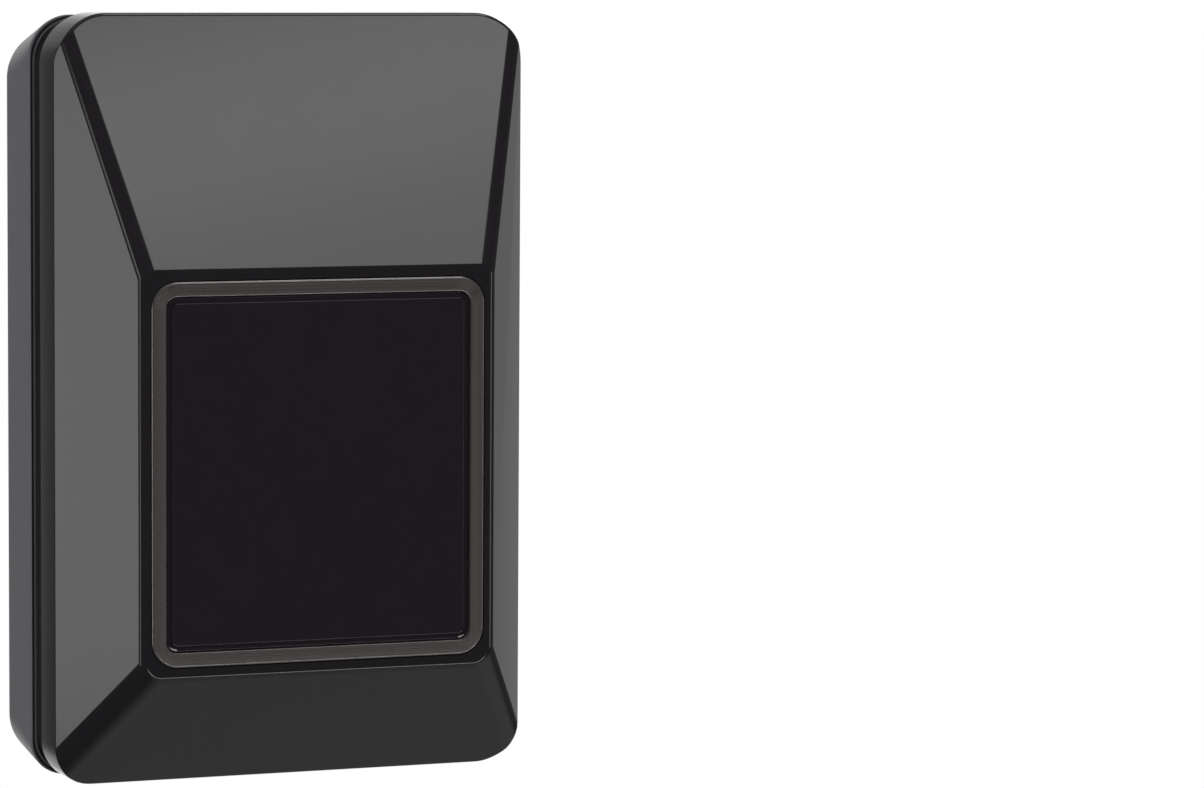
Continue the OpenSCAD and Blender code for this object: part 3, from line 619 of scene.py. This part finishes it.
@dataclass
class Housing:
    """The base on the wall, the band round it and the faceted cover."""

    # The black flange is painted shade over the base's front face; the bead's lighter finish is a painted highlight
    # line.
    lips: tuple[Lip, ...] = (Lip(0.14, 1.1, 0.14, RUBBER), Lip(0.42, 0.28, 0.6, BEAD_HIGHLIGHT))
    lip_round: float = 0.05 * MM
    lip_sunk: float = 0.05 * MM
    upper_corner: float = 6.2 * MM
    lower_corner: float = 5.0 * MM
    grommet_edge_mm: float = 0.3
    seal_edge_mm: float = 0.2

    def bead(self) -> bpy.types.Object:
        """Makes a thin black flange on the base's front face, a dark sheet that paints the shade in the groove between
        base and band, with a bead standing on it whose lighter grey is a painted highlight.
        """
        low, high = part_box("base_box")
        size, middle = high - low, (low + high) / 2
        seal_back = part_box("housing_seal")[1].y
        bm = bmesh.new()
        for index, lip in enumerate(self.lips):
            reach = lip.inwards * MM
            ring = plate(size.x - 2 * reach, size.z - 2 * reach, self.upper_corner, lower=self.lower_corner)
            push(ring, hollowed(ring, lip.width * MM), lip.rise * MM + self.lip_sunk, keep=True)
            face_outwards(ring)
            break_edges(ring, self.lip_round)
            gather(bm, ring, (middle.x, seal_back + self.lip_sunk, middle.z), index)
        return put("shade_flange_and_bead", bm, [lip.finish for lip in self.lips], "housing_seal")

    def build(self) -> None:
        """Makes the base, the grommet, the band and the cover."""
        refine("base_box", [BASE])
        self.bead()
        refine("cable_grommet", [RUBBER], self.grommet_edge_mm)
        refine("housing_seal", [RUBBER], self.seal_edge_mm)
        refine("front_cover", [COVER])


@dataclass
class Window:
    """The dark pane in its brushed frame, with the gasket behind it. The angle is in radians."""

    bar: float = 2.1 * MM
    corner: float = 3.8 * MM
    bevel: float = 0.3 * MM
    gap: float = 0.12 * MM
    margin: float = 0.9 * MM
    step: float = 0.5 * MM
    raise_by: float = 0.3 * MM
    pane_round: float = 0.15 * MM
    rim_angle: float = 1.0
    gasket_edge_mm: float = 0.1
    trim_low: Vector = field(default_factory=lambda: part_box("window_trim")[0])
    trim_high: Vector = field(default_factory=lambda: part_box("window_trim")[1])

    @property
    def middle(self) -> Vector:
        """Middle of the trim's back face."""
        return Vector(((self.trim_low.x + self.trim_high.x) / 2, self.trim_high.y,
                       (self.trim_low.z + self.trim_high.z) / 2))

    def trim(self) -> bpy.types.Object:
        """Makes the brushed frame, with grain along its bars, and chamfers in a lighter, more metallic finish: partly
        bare cut metal, partly a painted highlight.
        """
        size = self.trim_high - self.trim_low
        bm = plate(size.x, size.z, self.corner)
        front = push(bm, hollowed(bm, self.bar), size.y, keep=True)
        face_outwards(bm)
        rim = {e for f in front for e in f.edges if e.calc_face_angle() > self.rim_angle}
        outer = {e for e in rim if all(self.inwards(v.co, size) < self.bar / 2 for v in e.verts)}
        # Index 1 puts the chamfers in the lighter edge finish, a painted highlight along the frame's rims.
        break_edges(bm, self.bevel, 3, only=outer.__contains__, index=1)
        break_edges(bm, self.bevel / 2, only=(rim - outer).__contains__, index=1)
        self.map_bars(bm, size)
        bmesh.ops.translate(bm, vec=self.middle, verts=bm.verts)
        return put("trim_frame", bm, [TRIM, TRIM_EDGE_HIGHLIGHT], "window_trim", ("window_trim",))

    def inwards(self, point: Vector, size: Vector) -> float:
        """Tells how far inside the frame's outer outline a point lies.

        Args:
            point: The point, about the frame's middle.
            size: The frame's size.

        Returns:
            The distance, which is 0 on the outline.
        """
        x, z = abs(point.x) - size.x / 2 + self.corner, abs(point.z) - size.z / 2 + self.corner
        return self.corner - math.hypot(max(x, 0), max(z, 0)) - min(max(x, z), 0)

    def map_bars(self, bm: Mesh, size: Vector) -> None:
        """Lays U along the bars and V across them.

        Args:
            bm: The frame's mesh, about the origin.
            size: The frame's size.
        """
        grid = bm.loops.layers.uv.new("bars")
        half_x, half_z = size.x / 2 - self.corner, size.z / 2 - self.corner
        arc = self.corner * math.pi / 2
        for face in bm.faces:
            centre = face.calc_center_median()
            for loop in face.loops:
                x, z = abs(loop.vert.co.x), abs(loop.vert.co.z)
                if x > half_x and z > half_z:
                    angle = math.atan2(z - half_z, x - half_x)
                    along = half_z + self.corner * angle
                    across = math.hypot(x - half_x, z - half_z)
                elif abs(centre.x) > half_x:
                    along, across = z, x - half_x
                else:
                    along, across = half_z + arc + half_x - x, z - half_z
                side = 2 * (centre.x > 0) + (centre.z > 0)
                loop[grid].uv = (along + side * (half_x + half_z + arc), across + loop.vert.co.y)

    def pane(self) -> bpy.types.Object:
        """Makes the pane: a flange under the trim, a step up inside it and a raised middle."""
        low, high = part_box("window_pane")
        size = high - low
        bm = plate(size.x, size.z, self.corner - self.gap)
        top = push(bm, bm.faces[:], size.y - self.step - self.raise_by, keep=True)[0]
        for by, rise in ((self.bar, self.step), (self.margin - self.gap, self.raise_by)):
            inset(bm, top, by)
            top = push(bm, [top], rise)[0]
        face_outwards(bm)
        break_edges(bm, self.pane_round, 3, only=lambda e: e.is_convex)
        bmesh.ops.translate(bm, vec=(self.middle.x, high.y, self.middle.z), verts=bm.verts)
        return put("pane", bm, [PANE], "window_pane", ("window_pane",))

    def build(self) -> None:
        """Makes the gasket, the pane and the trim."""
        refine("window_gasket", [RUBBER], self.gasket_edge_mm)
        self.pane()
        self.trim()


def legs_zone(node: str, axis: int, body: float) -> Zone:
    """Makes the test that tells the metal legs of a chip from its body.

    Args:
        node: The chip's node.
        axis: Which axis the legs point along, 0 for X or 2 for Z.
        body: Half the length of the body along that axis, in millimetres.

    Returns:
        The test, which gives 1 for a leg.
    """
    middle = middle_of(node)[axis]
    return lambda place: int(abs(place[axis] - middle) > body)


def wires_zone(node: str, wires: float) -> Zone:
    """Makes the test that tells the wires of a part from its coat.

    Args:
        node: The part's node.
        wires: How long its bare wires are, in millimetres.

    Returns:
        The test, which gives 1 for a wire.
    """
    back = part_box(node)[1].y / MM
    return lambda place: int(place.y > back - wires)


def can_zone(node: str, top: float, top_deep: float, stripe: float) -> Zone:
    """Makes the test that tells the stripe and the bare top of a capacitor from its sleeve.

    Args:
        node: The capacitor's node.
        top: The radius of the bare metal.
        top_deep: How far back the bare metal reaches.
        stripe: How far from the axis the stripe starts.

    Returns:
        The test, which gives 1 for the stripe and 2 for the top. All lengths are in millimetres.
    """
    middle, front = middle_of(node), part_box(node)[0].y / MM

    def zone(place: Vector) -> int:
        """Gives the index of the face at that place."""
        x, z = place.x - middle.x, place.z - middle.z
        if place.y < front + top_deep and math.hypot(x, z) < top:
            return 2
        return int(x > stripe)

    return zone


@dataclass(frozen=True)
class SmallParts:
    """The two columns of small parts beside the board's edges. Lengths are in millimetres."""

    column: float = 22.4
    bare: float = 0.45
    pitch: float = 2.4

    @property
    def cuts(self) -> tuple[float, ...]:
        """The places along X where a tinned end meets the body."""
        return tuple(sign * self.column + side * self.bare for sign in (-1, 1) for side in (-1, 1))

    def zone(self, place: Vector) -> int:
        """Gives 1 for a tinned end, 2 for the body of every second part, and 0 for the others."""
        if abs(abs(place.x) - self.column) > self.bare:
            return 1
        return 2 if math.floor(place.z / self.pitch) % 2 else 0


@dataclass
class Works:
    """Everything under the cover: each node's finish and the width of its broken edges in millimetres."""

    plain: tuple[tuple[str, Finish, float], ...] = (
        ("main_board", LAMINATE, 0.1),
        ("board_screws", ZINC, 0.12),
        ("terminal_block", GREEN, 0.2),
        ("terminal_cages", TIN, 0.05),
        ("terminal_screws", ZINC, 0.12),
        ("relay", BLUE, 0.3),
        ("switch_body", RED, 0.12),
        ("switch_lever_1", WHITE, 0.12),
        ("switch_lever_2", WHITE, 0.12),
        ("trimmer_body", TRIMMER, 0.15),
        ("trimmer_rotor", WHITE, 0.1),
        ("power_led", GREEN_LAMP, 0.08),
        ("alignment_led", RED_LAMP, 0.08),
        ("head_bracket", HEAD, 0.15),
        ("bracket_screws", ZINC, 0.12),
        ("gimbal_ring", RING, 0.12),
        ("lens_holder", HEAD, 0.12),
        ("lens", LENS, 0.05),
        ("lens_retainer", RING, 0.1),
        ("optical_baffle", HEAD, 0.05),
        ("sensor_board", LAMINATE, 0.1),
        ("photodiode", DIODE, 0.1),
    )
    small: SmallParts = SmallParts()

    def build(self) -> None:
        """Makes a finished piece of each node."""
        for node, finish, edge in self.plain:
            refine(node, [finish], edge)
        refine("microcontroller", [RESIN, TIN], 0.04, 1, legs_zone("microcontroller", axis=0, body=1.97))
        refine("regulator", [RESIN, TIN], 0.06, 1, legs_zone("regulator", axis=2, body=1.77))
        refine("varistor", [EPOXY, TIN], 0.1, 2, wires_zone("varistor", wires=1.75))
        refine("capacitor", [SLEEVE, STRIPE, ZINC], 0.15, 2, can_zone("capacitor", top=4.4, top_deep=0.3, stripe=4.3))
        refine("small_components", [CERAMIC, TIN, RESIN], 0.05, 1, self.small.zone, self.small.cuts)


@dataclass(frozen=True)
class Pad:
    """A bare ring of copper. Lengths are in millimetres."""

    size: float
    radius: float
    width: float
    steps: int

    def shape(self, rise: float) -> Mesh:
        """Makes the ring, about the origin."""
        return tab(self.size * MM, self.size * MM, self.radius * MM, rise, self.steps, self.width * MM)


@dataclass
class BoardPrint:
    """The copper, the ink and the solder of the main board. The routes, leads and cones are in millimetres."""

    copper: float = 0.05 * MM
    ink: float = 0.035 * MM
    ink_line: float = 0.18 * MM
    ink_gap: float = 0.7 * MM
    ink_corner: float = 0.3 * MM
    ink_steps: int = 8
    round_share: float = 0.99
    width: float = 0.7 * MM
    end_pad: Pad = Pad(1.1, 0.54, 0.3, 4)
    end_pad_rise: float = 1.4
    screw_pad: Pad = Pad(6.4, 3.19, 0.9, 8)
    screw_radius: float = 2.5 * MM
    routes: tuple[tuple[tuple[float, float], ...], ...] = (
        ((-12.7, 22.0), (-12.7, 21.9), (-12.7, 10.0), (-17.2, 5.5), (-17.2, -4.8), (-19.6, -7.2)),
        ((12.7, 22.0), (12.7, 9.5), (16.6, 5.6), (16.6, -6.0), (20.0, -9.4)),
        ((7.6, 22.0), (9.4, 20.2), (9.4, 8.4), (14.6, 3.2), (14.6, -7.0), (17.6, -10.0)),
        ((-26.6, 30.6), (-26.6, 8.0), (-24.2, 5.6), (-24.2, 4.6)),
        ((-15.4, 43.6), (-11.2, 39.4), (-11.2, 33.4), (-9.0, 31.2)),
        ((17.8, 30.8), (21.4, 27.2), (21.4, 8.4)),
        ((19.4, 34.6), (24.6, 29.4), (24.6, 6.0), (22.4, 3.8), (22.4, -5.6)),
        ((-19.4, -12.6), (-16.0, -16.0), (-16.0, -27.4), (-14.9, -28.5), (-14.9, -37.0)),
        ((-19.4, -11.3), (-14.4, -16.3), (-14.4, -26.6), (-5.2, -35.8), (-5.2, -38.4)),
        ((-19.4, -10.0), (-12.9, -16.5), (-12.9, -25.9), (-1.6, -37.2), (-1.6, -38.4)),
        ((-25.6, -13.4), (-26.9, -14.7), (-26.9, -30.4), (-17.0, -40.3)),
        ((19.6, -13.6), (16.4, -16.8), (16.4, -27.6), (14.9, -29.1), (14.9, -37.0)),
        ((22.4, -13.4), (22.4, -19.0)),
        ((20.3, -28.4), (17.8, -30.9), (17.8, -36.9)),
        ((5.4, -38.4), (5.4, -34.0), (13.4, -26.0), (13.4, -18.2), (19.6, -12.0)),
        ((-24.4, -18.2), (-24.4, -28.6)),
        ((-2.2, 9.8), (-3.8, 8.2), (-12.6, 8.2), (-14.4, 6.4), (-14.4, -3.9), (-19.3, -8.8)),
    )
    outlined: tuple[str, ...] = ("relay", "terminal_block", "switch_body", "trimmer_body", "microcontroller",
                                 "regulator")
    ringed: tuple[str, ...] = ("capacitor", "power_led", "alignment_led")
    leads: tuple[tuple[str, float, float], ...] = (
        ("relay", 7.6, 3.6),
        ("capacitor", 2.5, 0),
        ("varistor", 0, 2.5),
        ("switch_body", 1.27, 2.4),
        ("trimmer_body", 2.2, 1.2),
        ("power_led", 1.27, 0),
        ("alignment_led", 1.27, 0),
    )
    poles: int = 6
    pole_up: float = 3 * MM
    cones: tuple[tuple[float, float, float], ...] = ((0.95, 0.42, 0.6), (0.36, 0.28, 1.3))
    cone_sides: int = 14
    cone_round: float = 0.08 * MM
    cone_sunk: float = 0.05

    def face(self) -> float:
        """Depth of the board's front face."""
        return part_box("main_board")[0].y

    def tracks(self) -> bpy.types.Object:
        """Lays the copper tracks under the lacquer, with a bare ring at each end and round each screw."""
        bm = bmesh.new()
        depth = self.face() + self.copper / 2
        for route in self.routes:
            points = [Vector((x * MM, depth, z * MM)) for x, z in route]
            gather(bm, ribbon(points, self.width, self.copper))
            for x, z in (route[0], route[-1]):
                gather(bm, self.end_pad.shape(self.copper * self.end_pad_rise), (x * MM, depth, z * MM), 1)
        low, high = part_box("board_screws")
        for x in (low.x, high.x):
            for z in (low.z, high.z):
                at = (x - math.copysign(self.screw_radius, x), depth, z - math.copysign(self.screw_radius, z))
                gather(bm, self.screw_pad.shape(self.copper), at, 1)
        return put("board_tracks", bm, [TRACK, TIN], "main_board")

    def outlines(self) -> bpy.types.Object:
        """Draws an ink line round each part that stands on the board."""
        bm = bmesh.new()
        for node in (*self.outlined, *self.ringed):
            low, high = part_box(node)
            middle, size = (low + high) / 2, high - low + Vector((1, 1, 1)) * self.ink_gap
            radius = size.x / 2 * self.round_share if node in self.ringed else self.ink_corner
            gather(bm, tab(size.x, size.z, radius, self.ink, self.ink_steps, self.ink_line),
                   (middle.x, self.face() + self.ink / 2, middle.z))
        return put("board_outlines", bm, [INK], "main_board")

    def lead_places(self) -> list[tuple[float, float]]:
        """Lists where the leads of the parts come through the board, along X and Z."""
        low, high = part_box("terminal_block")
        pitch = (high.x - low.x) / self.poles
        places = [(low.x + pitch * (i + 0.5), low.z + self.pole_up) for i in range(self.poles)]
        for node, across, up in self.leads:
            low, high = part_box(node)
            middle = (low + high) / 2
            spots = {(side * across, top * up) for side in (-1, 1) for top in (-1, 1)}
            places += [(middle.x + x * MM, middle.z + z * MM) for x, z in sorted(spots)]
        return places

    def joints(self) -> bpy.types.Object:
        """Makes the soldered ends of the leads on the back of the board."""
        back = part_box("main_board")[1].y
        bm = bmesh.new()
        for x, z in self.lead_places():
            for wide, narrow, tall in self.cones:
                cone = bmesh.new()
                bmesh.ops.create_cone(cone, cap_ends=True, segments=self.cone_sides, radius1=wide * MM,
                                      radius2=narrow * MM, depth=tall * MM)
                break_edges(cone, self.cone_round, sharper=40)
                bmesh.ops.rotate(cone, matrix=Matrix.Rotation(-math.pi / 2, 3, "X"), verts=cone.verts)
                gather(bm, cone, (x, back + (tall / 2 - self.cone_sunk) * MM, z))
        return put("board_joints", bm, [SOLDER], "main_board")

    def build(self) -> None:
        """Makes the tracks, the outlines and the soldered joints."""
        self.tracks()
        self.outlines()
        self.joints()


@dataclass(frozen=True)
class Softbox:
    """One soft lamp of the studio, named after what it lights. Lengths are in metres."""

    name: str
    toward: tuple[float, float, float]
    distance: float
    width: float
    height: float
    radiance: float

    def build(self) -> None:
        """Hangs the lamp and turns it to the photocell."""
        lamp = bpy.data.lights.new(self.name, "AREA")
        lamp.shape = "RECTANGLE"
        lamp.size = self.width
        lamp.size_y = self.height
        lamp.energy = self.radiance * math.pi * self.width * self.height
        holder = bpy.data.objects.new(self.name, lamp)
        bpy.context.scene.collection.objects.link(holder)
        aim = Vector(self.toward).normalized()
        holder.matrix_world = (Matrix.Translation(aim * self.distance)
                               @ aim.to_track_quat("Z", "Y").to_matrix().to_4x4())
        holder.visible_camera = False


@dataclass
class Camera:
    """The camera of the photograph. Its eye is in metres."""

    eye: tuple[float, float, float] = (-0.24207, -0.73406, 0.06728)
    yaw: float = math.radians(22.245)
    pitch: float = math.radians(5.088)
    roll: float = math.radians(0.352)
    lens: float = 156.4
    sensor: float = 36
    clip: tuple[float, float] = (0.01, 50)

    def build(self) -> None:
        """Sets the camera up."""
        data = bpy.data.cameras.new("camera")
        data.lens = self.lens
        data.sensor_width = self.sensor
        data.clip_start, data.clip_end = self.clip
        camera = bpy.data.objects.new("camera", data)
        bpy.context.scene.collection.objects.link(camera)
        camera.matrix_world = (Matrix.Translation(self.eye) @ Matrix.Rotation(-self.yaw, 4, "Z")
                               @ Matrix.Rotation(math.pi / 2 - self.pitch, 4, "X")
                               @ Matrix.Rotation(self.roll, 4, "Z"))
        bpy.context.scene.camera = camera


@dataclass
class Floor:
    """The pale floor, which fades into the white backdrop. Lengths are in metres."""

    radius: float = 1.1
    below: float = 0.2
    tone: float = 0.38
    sides: int = 96
    clear_to_camera: float = 0.8
    fade_shares: tuple[float, float] = (0.2, 0.6)
    dark_side: Step = Step(-0.09, 0.02, 1, 0)

    def build(self) -> None:
        """Lays the floor well under the housing."""
        bm = bmesh.new()
        bmesh.ops.create_circle(bm, cap_ends=True, segments=self.sides, radius=self.radius)
        bmesh.ops.translate(bm, vec=(0, 0, CAD_BOX[0][2] - self.below), verts=bm.verts)
        mesh = bpy.data.meshes.new("floor")
        bm.to_mesh(mesh)
        bm.free()
        mesh.materials.append(self.paper())
        floor = bpy.data.objects.new("floor", mesh)
        bpy.context.scene.collection.objects.link(floor)

    def paper(self) -> bpy.types.Material:
        """Makes the floor's material.

        The camera sees little more of it than a shadow. Glossy rays see it near the housing and to its right, so
        that the lower slope mirrors it and the hip on the left doesn't.

        Returns:
            The material.
        """
        paper = bpy.data.materials.new("floor_paper")
        wiring = Wiring.emptied(paper)
        place = wiring.node("TexCoord").outputs["Object"]
        flat = wiring.node("VectorMath MULTIPLY", place, (1, 1, 0)).outputs["Vector"]
        reach = wiring.node("VectorMath LENGTH", flat).outputs["Value"]
        fade = wiring.step(reach, Step(*(share * self.radius for share in self.fade_shares)))
        path = wiring.node("LightPath").outputs
        seen = wiring.maths("MULTIPLY_ADD", fade, 1 - self.clear_to_camera, self.clear_to_camera)
        seen = wiring.maths("MULTIPLY", seen, path["Is Camera Ray"])
        dark = wiring.step(wiring.node("SeparateXYZ", place).outputs["X"], self.dark_side)
        fade = wiring.maths("MAXIMUM", fade, dark)
        mirrored = wiring.maths("MAXIMUM", path["Is Glossy Ray"], path["Is Transmission Ray"])
        share = wiring.maths("MULTIPLY_ADD", mirrored, fade, seen)
        matt = wiring.node("BsdfDiffuse", (self.tone, self.tone, self.tone, 1)).outputs["BSDF"]
        clear = wiring.node("BsdfTransparent").outputs["BSDF"]
        wiring.node("OutputMaterial", wiring.node("MixShader", share, matt, clear).outputs["Shader"])
        return paper


@dataclass
class Surround:
    """The white backdrop that the camera sees, and the soft room that lights the object and is mirrored in it."""

    backdrop: tuple[float, float, float] = (0.338, 0.941, 0.0)
    backdrop_edge: Step = Step(0.785, 0.985, 0.0, 0.95)
    backdrop_top: Step = Step(0.42, 0.1)
    backdrop_foot: Step = Step(-0.4, -0.28)
    walls: Step = Step(0.0, 0.75, 0.03, 0.055)
    ceiling: Step = Step(0.7, 1.0, 0.0, 0.35)
    ambient: Step = Step(-0.6, 1.0, 1.0, 0.85)

    def mirrored(self, wiring: Wiring, way: Socket, height: Socket) -> Socket:
        """Works out what a glossy ray finds: the backdrop behind the object and a dim room in front of it.

        Args:
            wiring: The world's wiring.
            way: The ray's direction.
            height: The direction's upward part.

        Returns:
            The strength of the light.
        """
        level = wiring.node("VectorMath MULTIPLY", way, (1, 1, 0)).outputs["Vector"]
        level = wiring.node("VectorMath NORMALIZE", level).outputs["Vector"]
        behind = wiring.node("VectorMath DOT_PRODUCT", level, self.backdrop).outputs["Value"]
        light = wiring.step(behind, self.backdrop_edge)
        for limit in (self.backdrop_top, self.backdrop_foot):
            light = wiring.maths("MULTIPLY", light, wiring.step(height, limit))
        light = wiring.maths("ADD", light, wiring.step(behind, self.walls))
        return wiring.maths("ADD", light, wiring.step(height, self.ceiling))

    def build(self) -> None:
        """Sets the world up."""
        world = bpy.data.worlds.new("studio")
        bpy.context.scene.world = world
        wiring = Wiring.emptied(world)
        path = wiring.node("LightPath").outputs
        seen = wiring.maths("MAXIMUM", path["Is Camera Ray"], path["Is Transmission Ray"])
        way = wiring.node("TexCoord").outputs["Generated"]
        height = wiring.node("SeparateXYZ", way).outputs["Z"]
        lit = wiring.step(height, self.ambient)
        mirrored = self.mirrored(wiring, way, height)
        room = wiring.node("Mix", path["Is Glossy Ray"], None, lit, mirrored).outputs["Result"]
        ambient = wiring.node("Background", (1, 1, 1, 1), room).outputs["Background"]
        white = wiring.node("Background", (1, 1, 1, 1), 1.0).outputs["Background"]
        wiring.node("OutputWorld", wiring.node("MixShader", seen, ambient, white).outputs["Shader"])


@dataclass
class Studio:
    """The camera, the lamps, the pale floor and the white surround."""

    softboxes: tuple[Softbox, ...] = (
        Softbox("top_slope_light", (0.31, -0.80, 0.51), 1.0, 0.34, 0.32, 2.42),
        Softbox("top_slope_glow", (0.299, -0.773, 0.562), 1.0, 0.34, 0.06, 0.8),
        Softbox("left_slope_light", (-0.985, 0.06, -0.08), 1.0, 0.44, 0.26, 2.6),
        Softbox("upper_edge_light", (0.36, -0.09, 0.93), 1.0, 0.3, 0.3, 4.0),
        Softbox("right_edge_light", (0.875, -0.485, -0.09), 1.0, 0.22, 0.2, 1.8),
        Softbox("lower_edge_light", (0.285, -0.885, -0.375), 1.0, 0.7, 0.12, 6.0),
        Softbox("left_edge_light", (-0.92, -0.38, -0.09), 1.0, 0.12, 0.5, 2.0),
    )

    def build(self) -> None:
        """Sets the studio up."""
        for piece in (Camera(), Floor(), Surround(), *self.softboxes):
            piece.build()
        bpy.context.scene.view_settings.view_transform = "Standard"


def main() -> None:
    """Builds the photocell's sub-assemblies in order, then the studio."""
    logging.basicConfig(level=logging.INFO, format="%(name)s: %(message)s")
    for assembly in (Housing(), Window(), Works(), BoardPrint(), Studio()):
        log.info("building %s", type(assembly).__name__)
        assembly.build()


if __name__ == "__main__":
    main()
